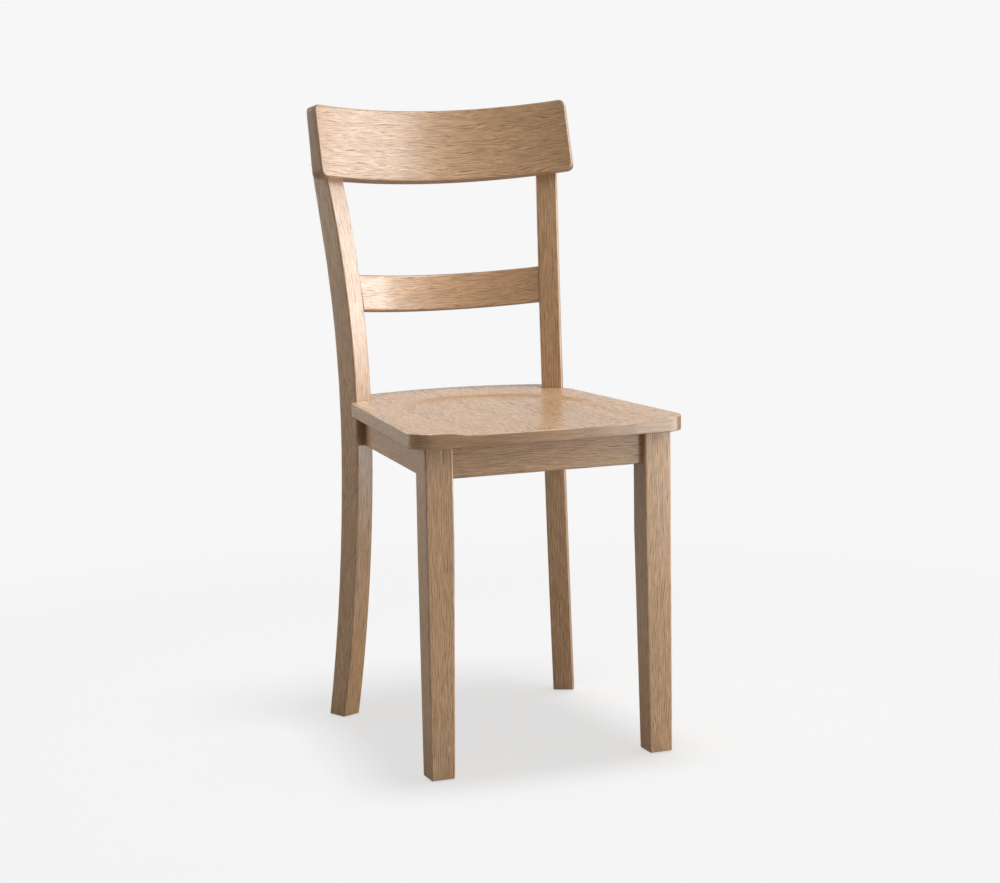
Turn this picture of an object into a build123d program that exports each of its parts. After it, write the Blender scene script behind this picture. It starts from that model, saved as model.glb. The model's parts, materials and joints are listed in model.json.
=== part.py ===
from build123d import *
import os
from math import asin, atan2, cos, degrees, radians, sin, sqrt, tan

os.makedirs("parts", exist_ok=True)

# Driving dimensions, in millimetres and degrees. The floor is Z = 0, the front faces -Y and
# the origin is on the floor below the middle of the chair. Left is -X. The left half is drawn
# and the right half is its mirror image.
seat_height = 457
seat_thickness = 20
frame_top = seat_height - seat_thickness
foot_bottom = 1.5

leg_outer_x = -172.5
leg_front_y = -212
leg_size = 38
leg_foot_size = 33
leg_taper_top = 300
leg_edge_radius = 2.5

# The rear posts are sawn to a sabre curve and stand toed in, with a slight splay to the floor.
post_x = -151.2
post_y = 113.5
post_toe_in = 25
post_splay = 1.3
post_width = 30
post_edge_radius = 2.5
post_front_waist = 380
post_front_kick = 32.8
post_front_rake = 55
post_rear_waist = 369.5
post_waist_depth = 34.6
post_foot_straight = 26
post_foot_flare = 25
post_rear_bend = 680
post_rear_rake = 34
lap_bottom = 757
lap_length = 38

apron_height = 43
apron_thickness = 18
apron_setback = 9
apron_bottom = frame_top - apron_height
apron_edge_radius = 2
side_apron_x = -163.2
side_apron_angle = 3.7
rear_apron_depth = 18

seat_front_y = -233
seat_front_radius = 1700
seat_front_half_width = 194.8
seat_side_slope = 0.087
seat_corner_radius = 29
seat_back_y = 199
seat_back_radius = 370
seat_top_radius = 1.5
seat_bottom_radius = 1.5
seat_post_gap = 0.6
dish_depth = 4
dish_half_width = 138
dish_back_y = 109
dish_corner_radius = 126
dish_side_slope = 20
dish_back_slope = 15

lumbar_y = 171.9
lumbar_z = 574.3
lumbar_rake = 13
lumbar_radius = 280
lumbar_height = 50.4
lumbar_thickness = 20
lumbar_edge_radius = 3

crest_y = 185.4
crest_z = lap_bottom
crest_rake = 16.9
crest_radius = 387.2
crest_half_length = 187.5
crest_height = 102.6
crest_thickness = 21.8
crest_back_taper = 1.8
crest_corner_radius = 9
crest_edge_radius = 2.5

fit_clearance = 0.05
dowel_radius = 4
dowel_in_post = 12
dowel_in_apron = 16
dowel_heights = (405, 425)
side_dowel_inset = 3.5
lumbar_dowel_radius = 3
lumbar_dowel_in_post = 10
lumbar_dowel_in_rail = 12
lumbar_dowel_depth = 34
lumbar_dowel_heights = (588, 611)

block_bottom = 404
block_height = 31
block_screw_height = 419
screw_radius = 2
screw_head_radius = 4
screw_head_height = 2.4
screw_tip = 3
counterbore_radius = 4.5
block_screw_grip = 10
block_screw_bite = 13
seat_screw_length = 42
crest_screw_grip = 18
crest_screw_bite = 12
crest_screw_lap = (13, 29)
plug_rise = 0.2

glide_radius = 10
glide_thickness = 4
nail_radius = 1.2
nail_head_radius = 3.5
nail_head_top = 1.8
nail_head_height = 1
nail_top = 18

# Reference planes of the left post: X runs back and outward, Y up, Z inward across its width.
splay = radians(post_splay)
toe_in = radians(post_toe_in)
post_back = Vector(-sin(toe_in), cos(toe_in), 0)
post_inward = Vector(cos(toe_in), sin(toe_in), 0)
post_plane = Plane(
    origin=(post_x, post_y, 0),
    x_dir=post_back,
    z_dir=post_inward * cos(splay) - Vector(0, 0, sin(splay)),
)
post_inner_face = Plane(
    origin=post_plane.from_local_coords((0, 0, post_width / 2)),
    z_dir=post_plane.z_dir,
)

# The front of the post runs straight behind the crest rail, at the slope its curve ends with.
lap_lean = 2 * atan2(post_front_rake, lap_bottom - post_front_waist)
lap_up = post_plane.x_dir * sin(lap_lean) + post_plane.y_dir * cos(lap_lean)
lap_back = post_plane.x_dir * cos(lap_lean) - post_plane.y_dir * sin(lap_lean)
lap_start = post_plane.from_local_coords((post_front_rake, lap_bottom, 0))
lap_top_plane = Plane(origin=lap_start + lap_up * lap_length, z_dir=lap_up)

# The rear of the post runs straight above its bend and in a short foot, at the slopes its two
# curves end with.
rear_lean = 2 * atan2(post_rear_rake, post_rear_bend - post_rear_waist)
rear_bend_point = (post_waist_depth + post_rear_rake, post_rear_bend)
foot_lean = 2 * atan2(post_foot_flare, post_rear_waist - post_foot_straight)
foot_curve_depth = post_waist_depth + post_foot_flare
post_foot_depth = foot_curve_depth + post_foot_straight * tan(foot_lean)
post_upper_rear_face = Plane(
    origin=post_plane.from_local_coords((*rear_bend_point, 0)),
    z_dir=post_plane.x_dir * cos(rear_lean) - post_plane.y_dir * sin(rear_lean),
)

# Faces of the seat frame that other pieces meet.
leg_rear_y = leg_front_y + leg_size
leg_inner_x = leg_outer_x + leg_size
front_apron_y = leg_front_y + apron_setback + apron_thickness / 2
front_apron_inner_y = front_apron_y + apron_thickness / 2
side_lean = radians(side_apron_angle)
side_apron_width = apron_thickness / cos(side_lean)
apron_middle = apron_bottom + apron_height / 2
post_at_apron = post_plane.from_local_coords((0, apron_middle, 0))
rear_apron_end = post_at_apron + post_inward * (post_width / 2) + post_back * rear_apron_depth
rear_apron_radius = -rear_apron_end.X / sin(toe_in)
rear_apron_center_y = rear_apron_end.Y - rear_apron_radius * cos(toe_in)
rear_apron_inner_radius = rear_apron_radius - apron_thickness / 2

# The side apron ends on the plane that touches the curved front of the post at mid height.
waist_radius = post_front_rake / (1 - cos(lap_lean))
side_end_lean = asin((apron_middle - post_front_waist) / waist_radius)
side_end_plane = Plane(
    origin=post_plane.from_local_coords(
        (waist_radius * (1 - cos(side_end_lean)), apron_middle, 0)
    ),
    z_dir=post_plane.x_dir * cos(side_end_lean) - post_plane.y_dir * sin(side_end_lean),
)


def side_apron_inner_x(y):
    """X of the left apron's inner face at a given Y."""
    return side_apron_x + (y - leg_rear_y) * tan(side_lean) + side_apron_width


def rear_apron_inner_y(x):
    """Y of the rear apron's inner face at a given X."""
    return rear_apron_center_y + sqrt(rear_apron_inner_radius**2 - x**2)


# Dowel axes of the left half, each on its joint face and pointing into the leg or post.
side_dowel_x = side_apron_x + side_apron_width / 2
apron_dowel_axes = {
    "front_in_leg": [Plane((leg_inner_x, front_apron_y, z), z_dir=(-1, 0, 0)) for z in dowel_heights],
    "side_in_leg": [Plane((side_dowel_x, leg_rear_y, z), z_dir=(0, -1, 0)) for z in dowel_heights],
    "side_in_post": [],
    "rear_in_post": [],
}
for z in dowel_heights:
    front_of_post = post_plane.from_local_coords((0, z, 0))
    side_entry = front_of_post + post_inward * side_dowel_inset
    rear_entry = front_of_post + post_inward * (post_width / 2) + post_back * rear_apron_depth
    apron_dowel_axes["side_in_post"].append(Plane(side_entry, z_dir=post_back))
    apron_dowel_axes["rear_in_post"].append(Plane(rear_entry, z_dir=-post_inward))
lumbar_dowel_axes = [
    Plane(post_plane.from_local_coords((lumbar_dowel_depth, z, post_width / 2)), z_dir=-post_plane.z_dir)
    for z in lumbar_dowel_heights
]

# Screw axes of the left half, each on the face where its two pieces meet.
front_block_x = -104
front_block_y = -138
rear_block_x = -85
rear_block_y = 85
rear_block_radial = Vector(rear_block_x, rear_apron_inner_y(rear_block_x) - rear_apron_center_y, 0)
side_outward = Vector(-cos(side_lean), sin(side_lean), 0)
front_apron_screw = Plane((front_block_x, front_apron_inner_y, block_screw_height), z_dir=(0, -1, 0))
side_front_screw = Plane(
    (side_apron_inner_x(front_block_y), front_block_y, block_screw_height), z_dir=side_outward
)
side_rear_screw = Plane(
    (side_apron_inner_x(rear_block_y), rear_block_y, block_screw_height), z_dir=side_outward
)
rear_apron_screw = Plane(
    (rear_block_x, rear_apron_inner_y(rear_block_x), block_screw_height), z_dir=rear_block_radial
)
front_seat_screw = (-121, -163)
rear_seat_screw = (-106, 115)
crest_screw_axes = [Plane(lap_start + lap_up * height, z_dir=lap_back) for height in crest_screw_lap]

# Feet: the middle of each left foot, where the glide is let in.
front_foot = (leg_outer_x + leg_foot_size / 2, leg_front_y + leg_foot_size / 2)
rear_foot_point = post_plane.from_local_coords(((post_front_kick + post_foot_depth) / 2, 0, 0))
rear_foot = (rear_foot_point.X, rear_foot_point.Y)

from_low_end = (Align.CENTER, Align.CENTER, Align.MIN)
from_high_end = (Align.CENTER, Align.CENTER, Align.MAX)

# Front legs: square and straight past the aprons, then tapered on the two inner faces.
with BuildPart() as front_left_leg:
    with BuildSketch(Plane.XY.offset(foot_bottom)):
        with Locations(front_foot):
            RectangleRounded(leg_foot_size, leg_foot_size, leg_edge_radius)
    with BuildSketch(Plane.XY.offset(leg_taper_top)):
        with Locations((leg_outer_x + leg_size / 2, leg_front_y + leg_size / 2)):
            RectangleRounded(leg_size, leg_size, leg_edge_radius)
    loft()
    extrude(front_left_leg.faces().sort_by(Axis.Z)[-1], amount=frame_top - leg_taper_top)
    for axis in apron_dowel_axes["front_in_leg"] + apron_dowel_axes["side_in_leg"]:
        with Locations(axis):
            Cylinder(
                dowel_radius + fit_clearance, dowel_in_post, align=from_low_end, mode=Mode.SUBTRACT
            )
    with Locations(front_foot):
        Cylinder(
            glide_radius + fit_clearance, glide_thickness, align=from_low_end, mode=Mode.SUBTRACT
        )
        Cylinder(nail_radius + fit_clearance, nail_top, align=from_low_end, mode=Mode.SUBTRACT)

with BuildPart() as front_right_leg:
    mirror(front_left_leg.part, about=Plane.YZ)

# Rear posts: one sawn profile from floor to crest, cut level at the floor and square at the top.
with BuildPart() as left_post_blank:
    with BuildSketch(post_plane):
        with BuildLine():
            TangentArc((0, post_front_waist), (post_front_kick, 0), tangent=(0, -1))
            TangentArc((0, post_front_waist), (post_front_rake, lap_bottom), tangent=(0, 1))
            lap = PolarLine(
                (post_front_rake, lap_bottom), 2 * lap_length, angle=90 - degrees(lap_lean)
            )
            rear = PolarLine(rear_bend_point, 4 * lap_length, angle=90 - degrees(rear_lean))
            Line(lap @ 1, rear @ 1)
            TangentArc((post_waist_depth, post_rear_waist), rear_bend_point, tangent=(0, 1))
            TangentArc(
                (post_waist_depth, post_rear_waist), (foot_curve_depth, post_foot_straight), tangent=(0, -1)
            )
            Polyline((foot_curve_depth, post_foot_straight), (post_foot_depth, 0), (post_front_kick, 0))
        make_face()
    extrude(amount=post_width / 2, both=True)
    fillet(left_post_blank.edges().filter_by(lambda edge: edge.length > 2 * post_width), post_edge_radius)
    split(bisect_by=lap_top_plane, keep=Keep.BOTTOM)
    split(bisect_by=Plane.XY.offset(foot_bottom), keep=Keep.TOP)

with BuildPart() as rear_left_post:
    add(left_post_blank.part)
    for axis in apron_dowel_axes["side_in_post"] + apron_dowel_axes["rear_in_post"]:
        with Locations(axis.offset(-post_edge_radius)):
            Cylinder(
                dowel_radius + fit_clearance,
                dowel_in_post + post_edge_radius,
                align=from_low_end,
                mode=Mode.SUBTRACT,
            )
    for axis in lumbar_dowel_axes:
        with Locations(axis):
            Cylinder(
                lumbar_dowel_radius + fit_clearance,
                lumbar_dowel_in_post,
                align=from_low_end,
                mode=Mode.SUBTRACT,
            )
    for axis in crest_screw_axes:
        with Locations(axis):
            Cylinder(
                screw_radius + fit_clearance, crest_screw_grip, align=from_low_end, mode=Mode.SUBTRACT
            )
        with Locations(axis.offset(crest_screw_grip)):
            Cylinder(counterbore_radius, post_width, align=from_low_end, mode=Mode.SUBTRACT)
    with Locations(rear_foot):
        Cylinder(
            glide_radius + fit_clearance, glide_thickness, align=from_low_end, mode=Mode.SUBTRACT
        )
        Cylinder(nail_radius + fit_clearance, nail_top, align=from_low_end, mode=Mode.SUBTRACT)

with BuildPart() as rear_right_post:
    mirror(rear_left_post.part, about=Plane.YZ)

# Aprons: the four rails of the seat frame, set back from the legs and doweled to them.
with BuildPart() as front_apron:
    with BuildSketch(Plane.XY.offset(apron_bottom)):
        with Locations((0, front_apron_y)):
            Rectangle(-2 * leg_inner_x, apron_thickness)
    extrude(amount=apron_height)
    fillet(front_apron.edges().filter_by(Axis.X).group_by(Axis.Z)[0], apron_edge_radius)
    for axis in apron_dowel_axes["front_in_leg"]:
        for side_axis in (axis, Plane((-axis.origin.X, axis.origin.Y, axis.origin.Z), z_dir=(1, 0, 0))):
            with Locations(side_axis):
                Cylinder(
                    dowel_radius + fit_clearance,
                    dowel_in_apron + 1,
                    align=from_high_end,
                    mode=Mode.SUBTRACT,
                )
    for x in (front_block_x, -front_block_x):
        with Locations(Plane((x, front_apron_inner_y, block_screw_height), z_dir=(0, -1, 0))):
            Cylinder(
                screw_radius + fit_clearance,
                block_screw_bite + 1,
                align=from_low_end,
                mode=Mode.SUBTRACT,
            )

with BuildPart() as left_apron:
    with BuildSketch(Plane.XY.offset(apron_bottom)):
        with BuildLine():
            outer_end = Vector(side_apron_x - (leg_rear_y - seat_back_y) * tan(side_lean), seat_back_y)
            Polyline(
                (side_apron_x, leg_rear_y),
                (side_apron_x + side_apron_width, leg_rear_y),
                outer_end + Vector(side_apron_width, 0),
                outer_end,
                close=True,
            )
        make_face()
    extrude(amount=apron_height)
    long_edges = left_apron.edges().filter_by(lambda edge: edge.length > 2 * apron_height)
    fillet(long_edges.group_by(Axis.Z)[0], apron_edge_radius)
    split(bisect_by=side_end_plane, keep=Keep.BOTTOM)
    split(bisect_by=post_inner_face, keep=Keep.BOTTOM)
    for axis in apron_dowel_axes["side_in_leg"] + apron_dowel_axes["side_in_post"]:
        with Locations(axis.offset(apron_edge_radius)):
            Cylinder(
                dowel_radius + fit_clearance,
                dowel_in_apron + 1 + apron_edge_radius,
                align=from_high_end,
                mode=Mode.SUBTRACT,
            )
    for axis in (side_front_screw, side_rear_screw):
        with Locations(axis):
            Cylinder(
                screw_radius + fit_clearance,
                block_screw_bite + 1,
                align=from_low_end,
                mode=Mode.SUBTRACT,
            )

with BuildPart() as right_apron:
    mirror(left_apron.part, about=Plane.YZ)

with BuildPart() as rear_apron_half:
    with BuildSketch(Plane.XY.offset(apron_bottom)):
        with Locations((0, rear_apron_center_y)):
            Circle(rear_apron_inner_radius + apron_thickness)
            Circle(rear_apron_inner_radius, mode=Mode.SUBTRACT)
            Rectangle(
                rear_apron_radius,
                2 * rear_apron_radius,
                align=(Align.MAX, Align.MIN),
                mode=Mode.INTERSECT,
            )
    extrude(amount=apron_height)
    split(bisect_by=post_inner_face, keep=Keep.TOP)
    long_edges = rear_apron_half.edges().filter_by(lambda edge: edge.length > 2 * apron_height)
    fillet(long_edges.group_by(Axis.Z)[0], apron_edge_radius)
    for axis in apron_dowel_axes["rear_in_post"]:
        with Locations(axis.offset(apron_edge_radius)):
            Cylinder(
                dowel_radius + fit_clearance,
                dowel_in_apron + 1 + apron_edge_radius,
                align=from_high_end,
                mode=Mode.SUBTRACT,
            )
    with Locations(rear_apron_screw.offset(-1)):
        Cylinder(
            screw_radius + fit_clearance, block_screw_bite + 2, align=from_low_end, mode=Mode.SUBTRACT
        )

with BuildPart() as rear_apron:
    add(rear_apron_half.part)
    mirror(about=Plane.YZ)

# Corner blocks: diagonal braces screwed to two aprons, with one screw up into the seat.
with BuildPart() as front_left_corner_block:
    with BuildSketch(Plane.XY.offset(block_bottom)):
        with BuildLine():
            Polyline(
                (-122, front_apron_inner_y),
                (-86, front_apron_inner_y),
                (side_apron_inner_x(-119), -119),
                (side_apron_inner_x(-155), -155),
                close=True,
            )
        make_face()
    extrude(amount=block_height)
    for axis in (front_apron_screw, side_front_screw):
        with Locations(axis):
            Cylinder(
                screw_radius + fit_clearance,
                2 * block_screw_grip,
                align=from_high_end,
                mode=Mode.SUBTRACT,
            )
        with Locations(axis.offset(-block_screw_grip)):
            Cylinder(counterbore_radius, block_height, align=from_high_end, mode=Mode.SUBTRACT)
    with Locations((*front_seat_screw, block_bottom)):
        Cylinder(screw_radius + fit_clearance, block_height, align=from_low_end, mode=Mode.SUBTRACT)
        Cone(
            screw_head_radius,
            screw_radius,
            screw_head_height,
            align=from_low_end,
            mode=Mode.SUBTRACT,
        )

with BuildPart() as front_right_corner_block:
    mirror(front_left_corner_block.part, about=Plane.YZ)

with BuildPart() as rear_left_corner_block:
    with BuildSketch(Plane.XY.offset(block_bottom)):
        with BuildLine():
            block_back = [(x, rear_apron_inner_y(x) - fit_clearance) for x in (-66, rear_block_x, -104)]
            ThreePointArc(*block_back)
            Polyline(
                block_back[-1],
                (side_apron_inner_x(97), 97),
                (side_apron_inner_x(57), 57),
                block_back[0],
            )
        make_face()
    extrude(amount=block_height)
    for axis in (rear_apron_screw, side_rear_screw):
        with Locations(axis):
            Cylinder(
                screw_radius + fit_clearance,
                2 * block_screw_grip,
                align=from_high_end,
                mode=Mode.SUBTRACT,
            )
        with Locations(axis.offset(-block_screw_grip)):
            Cylinder(counterbore_radius, block_height, align=from_high_end, mode=Mode.SUBTRACT)
    with Locations((*rear_seat_screw, block_bottom)):
        Cylinder(screw_radius + fit_clearance, block_height, align=from_low_end, mode=Mode.SUBTRACT)
        Cone(
            screw_head_radius,
            screw_radius,
            screw_head_height,
            align=from_low_end,
            mode=Mode.SUBTRACT,
        )

with BuildPart() as rear_right_corner_block:
    mirror(rear_left_corner_block.part, about=Plane.YZ)

# Seat: a solid panel with a bowed front, narrower at the back, notched round the posts, with a
# shallow dish that runs out through the front edge.
notch = post_plane.from_local_coords((0, frame_top, 0))
notch += post_inward * (post_width / 2 + 2 * seat_post_gap) + post_back * seat_post_gap
seat_back_half_width = seat_front_half_width - seat_side_slope * (seat_back_y - seat_front_y)
with BuildPart() as seat_panel:
    with BuildSketch(Plane.XY.offset(frame_top)) as seat_outline:
        with BuildLine():
            Polyline(
                (-seat_front_half_width, seat_front_y),
                (seat_front_half_width, seat_front_y),
                (seat_back_half_width, seat_back_y),
                (-seat_back_half_width, seat_back_y),
                close=True,
            )
        make_face()
        with Locations((0, seat_back_y - seat_back_radius)):
            Circle(seat_back_radius, mode=Mode.INTERSECT)
        with Locations((0, seat_front_y + seat_front_radius)):
            Circle(seat_front_radius, mode=Mode.INTERSECT)
        fillet(seat_outline.vertices().group_by(Axis.Y)[0], seat_corner_radius)
    extrude(amount=seat_thickness)
    fillet(seat_panel.faces().sort_by(Axis.Z)[-1].edges(), seat_top_radius)
    fillet(seat_panel.faces().sort_by(Axis.Z)[0].edges(), seat_bottom_radius)
    with BuildSketch(Plane.XY.offset(frame_top)):
        for side, corner in ((1, Align.MAX), (-1, Align.MIN)):
            with Locations((side * notch.X, notch.Y)):
                Rectangle(
                    post_width + seat_corner_radius,
                    2 * (post_width + seat_corner_radius),
                    rotation=side * post_toe_in,
                    align=(corner, Align.MIN),
                )
    extrude(amount=seat_thickness, mode=Mode.SUBTRACT)
    with BuildSketch(Plane.XY.offset(seat_height)) as dish_rim:
        with Locations((0, dish_back_y)):
            Rectangle(2 * dish_half_width, seat_height, align=(Align.CENTER, Align.MAX))
        fillet(dish_rim.vertices().group_by(Axis.Y)[-1], dish_corner_radius)
    with BuildSketch(Plane.XY.offset(seat_height - dish_depth)) as dish_floor:
        with Locations((0, dish_back_y - dish_back_slope)):
            Rectangle(
                2 * (dish_half_width - dish_side_slope), seat_height, align=(Align.CENTER, Align.MAX)
            )
        fillet(dish_floor.vertices().group_by(Axis.Y)[-1], dish_corner_radius - dish_side_slope)
    loft(mode=Mode.SUBTRACT)
    for x, y in (front_seat_screw, rear_seat_screw):
        with Locations((x, y, block_bottom), (-x, y, block_bottom)):
            Cylinder(
                screw_radius + fit_clearance,
                seat_screw_length + 1,
                align=from_low_end,
                mode=Mode.SUBTRACT,
            )

# Lumbar rail: a curved, raked rail let in between the posts.
lumbar_plane = Plane(
    origin=(0, lumbar_y, lumbar_z),
    x_dir=(1, 0, 0),
    z_dir=(0, sin(radians(lumbar_rake)), cos(radians(lumbar_rake))),
)
with BuildPart() as lumbar_rail_half:
    with BuildSketch(lumbar_plane):
        with Locations((0, -lumbar_radius)):
            Circle(lumbar_radius + lumbar_thickness)
            Circle(lumbar_radius, mode=Mode.SUBTRACT)
            Rectangle(
                lumbar_radius,
                2 * lumbar_radius,
                align=(Align.MAX, Align.MIN),
                mode=Mode.INTERSECT,
            )
    extrude(amount=lumbar_height)
    split(bisect_by=post_inner_face, keep=Keep.TOP)
    fillet(
        lumbar_rail_half.edges().filter_by(lambda edge: edge.length > 2 * lumbar_height),
        lumbar_edge_radius,
    )
    for axis in lumbar_dowel_axes:
        with Locations(axis):
            Cylinder(
                lumbar_dowel_radius + fit_clearance,
                lumbar_dowel_in_rail + 1,
                align=from_high_end,
                mode=Mode.SUBTRACT,
            )

with BuildPart() as lumbar_rail:
    add(lumbar_rail_half.part)
    mirror(about=Plane.YZ)

# Crest rail: a wide board bent to an arc, thinner at the top, housed over the fronts of the posts.
crest_plane = Plane(
    origin=(0, crest_y, crest_z),
    x_dir=(1, 0, 0),
    z_dir=(0, sin(radians(crest_rake)), cos(radians(crest_rake))),
)
crest_half_angle = degrees(asin(crest_half_length / crest_radius))
with BuildPart() as crest_rail:
    with BuildSketch(crest_plane):
        with BuildLine():
            front = CenterArc(
                (0, -crest_radius), crest_radius, 90 - crest_half_angle, 2 * crest_half_angle
            )
            back = CenterArc(
                (0, -crest_radius),
                crest_radius + 2 * crest_thickness,
                90 - crest_half_angle,
                2 * crest_half_angle,
            )
            Line(front @ 0, back @ 0)
            Line(front @ 1, back @ 1)
        make_face()
    extrude(amount=crest_height)
    with BuildSketch(crest_plane.rotated((crest_back_taper, 0, 0))):
        with Locations((0, -crest_radius)):
            Circle(crest_radius + crest_thickness)
    extrude(amount=2 * crest_height, both=True, mode=Mode.INTERSECT)
    corner_edges = crest_rail.edges().filter_by(GeomType.LINE)
    fillet(corner_edges.filter_by(lambda edge: edge.length < 2 * crest_thickness), crest_corner_radius)
    front_and_back = crest_rail.faces().filter_by(GeomType.CYLINDER).sort_by(SortBy.AREA)[-2:]
    fillet(front_and_back.edges(), crest_edge_radius)
    add(left_post_blank.part, mode=Mode.SUBTRACT)
    mirror(left_post_blank.part, about=Plane.YZ, mode=Mode.SUBTRACT)
    for axis in crest_screw_axes:
        opposite = Plane(
            (-axis.origin.X, axis.origin.Y, axis.origin.Z),
            z_dir=(-axis.z_dir.X, axis.z_dir.Y, axis.z_dir.Z),
        )
        for side_axis in (axis, opposite):
            with Locations(side_axis):
                Cylinder(
                    screw_radius + fit_clearance,
                    crest_screw_bite + 1,
                    align=from_high_end,
                    mode=Mode.SUBTRACT,
                )

# Dowels of the apron joints and of the lumbar rail, glued in on both sides.
with BuildPart() as apron_dowels:
    for axes in apron_dowel_axes.values():
        for axis in axes:
            with Locations(axis.offset(-dowel_in_apron)):
                Cylinder(dowel_radius, dowel_in_apron + dowel_in_post, align=from_low_end)
    mirror(about=Plane.YZ)

with BuildPart() as lumbar_dowels:
    for axis in lumbar_dowel_axes:
        with Locations(axis.offset(-lumbar_dowel_in_rail)):
            Cylinder(
                lumbar_dowel_radius, lumbar_dowel_in_rail + lumbar_dowel_in_post, align=from_low_end
            )
    mirror(about=Plane.YZ)

# Wood screws: flat heads in counterbores, countersunk heads under the seat.
with BuildPart() as corner_block_screws:
    for axis in (front_apron_screw, side_front_screw, side_rear_screw, rear_apron_screw):
        with Locations(axis.offset(-block_screw_grip)):
            Cylinder(screw_head_radius, screw_head_height, align=from_high_end)
            Cylinder(screw_radius, block_screw_grip + block_screw_bite - screw_tip, align=from_low_end)
        with Locations(axis.offset(block_screw_bite - screw_tip)):
            Cone(screw_radius, screw_radius / 4, screw_tip, align=from_low_end)
    mirror(about=Plane.YZ)

with BuildPart() as seat_screws:
    for x, y in (front_seat_screw, rear_seat_screw):
        with Locations((x, y, block_bottom)):
            Cone(screw_head_radius, screw_radius, screw_head_height, align=from_low_end)
            Cylinder(screw_radius, seat_screw_length - screw_tip, align=from_low_end)
        with Locations((x, y, block_bottom + seat_screw_length - screw_tip)):
            Cone(screw_radius, screw_radius / 4, screw_tip, align=from_low_end)
    mirror(about=Plane.YZ)

with BuildPart() as crest_screws:
    for axis in crest_screw_axes:
        with Locations(axis.offset(crest_screw_grip)):
            Cylinder(screw_head_radius, screw_head_height, align=from_low_end)
            Cylinder(screw_radius, crest_screw_grip + crest_screw_bite - screw_tip, align=from_high_end)
        with Locations(axis.offset(screw_tip - crest_screw_bite)):
            Cone(screw_radius / 4, screw_radius, screw_tip, align=from_high_end)
    mirror(about=Plane.YZ)

# Wood plugs that close the counterbores, trimmed just proud of the backs of the posts.
with BuildPart() as crest_screw_plugs:
    for axis in crest_screw_axes:
        with Locations(axis.offset(crest_screw_grip + screw_head_height)):
            Cylinder(counterbore_radius - fit_clearance, post_width, align=from_low_end)
    split(bisect_by=post_upper_rear_face.offset(plug_rise), keep=Keep.BOTTOM)
    mirror(about=Plane.YZ)

# Floor glides: plastic discs let into the feet, each held by a nail with a sunk head.
with BuildPart() as front_left_glide:
    with Locations(front_foot):
        Cylinder(glide_radius, glide_thickness, align=from_low_end)
    fillet(front_left_glide.edges().group_by(Axis.Z)[0], foot_bottom / 2)
    with Locations(front_foot):
        Cylinder(nail_radius + fit_clearance, glide_thickness, align=from_low_end, mode=Mode.SUBTRACT)
        Cylinder(
            nail_head_radius + fit_clearance, nail_head_top, align=from_low_end, mode=Mode.SUBTRACT
        )

with BuildPart() as front_right_glide:
    mirror(front_left_glide.part, about=Plane.YZ)

with BuildPart() as rear_left_glide:
    with Locations((rear_foot[0] - front_foot[0], rear_foot[1] - front_foot[1])):
        add(front_left_glide.part)

with BuildPart() as rear_right_glide:
    mirror(rear_left_glide.part, about=Plane.YZ)

with BuildPart() as glide_nails:
    with Locations(front_foot, rear_foot):
        Cylinder(nail_radius, nail_top, align=from_low_end)
    for x, y in (front_foot, rear_foot):
        with Locations((x, y, nail_head_top)):
            Cylinder(nail_head_radius, nail_head_height, align=from_high_end)
        with Locations((x, y, 0)):
            Cylinder(
                nail_head_radius,
                nail_head_top - nail_head_height,
                align=from_low_end,
                mode=Mode.SUBTRACT,
            )
    mirror(about=Plane.YZ)

chair = {
    "front_left_leg": front_left_leg,
    "front_right_leg": front_right_leg,
    "rear_left_post": rear_left_post,
    "rear_right_post": rear_right_post,
    "front_apron": front_apron,
    "left_apron": left_apron,
    "right_apron": right_apron,
    "rear_apron": rear_apron,
    "front_left_corner_block": front_left_corner_block,
    "front_right_corner_block": front_right_corner_block,
    "rear_left_corner_block": rear_left_corner_block,
    "rear_right_corner_block": rear_right_corner_block,
    "seat_panel": seat_panel,
    "lumbar_rail": lumbar_rail,
    "crest_rail": crest_rail,
    "apron_dowels": apron_dowels,
    "lumbar_dowels": lumbar_dowels,
    "corner_block_screws": corner_block_screws,
    "seat_screws": seat_screws,
    "crest_screws": crest_screws,
    "crest_screw_plugs": crest_screw_plugs,
    "front_left_glide": front_left_glide,
    "front_right_glide": front_right_glide,
    "rear_left_glide": rear_left_glide,
    "rear_right_glide": rear_right_glide,
    "glide_nails": glide_nails,
}
for name, piece in chair.items():
    piece.part.label = name
    export_step(piece.part, f"parts/{name}.step")
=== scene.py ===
import json
import math

import bmesh
import bpy
from mathutils import Matrix, Vector

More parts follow.
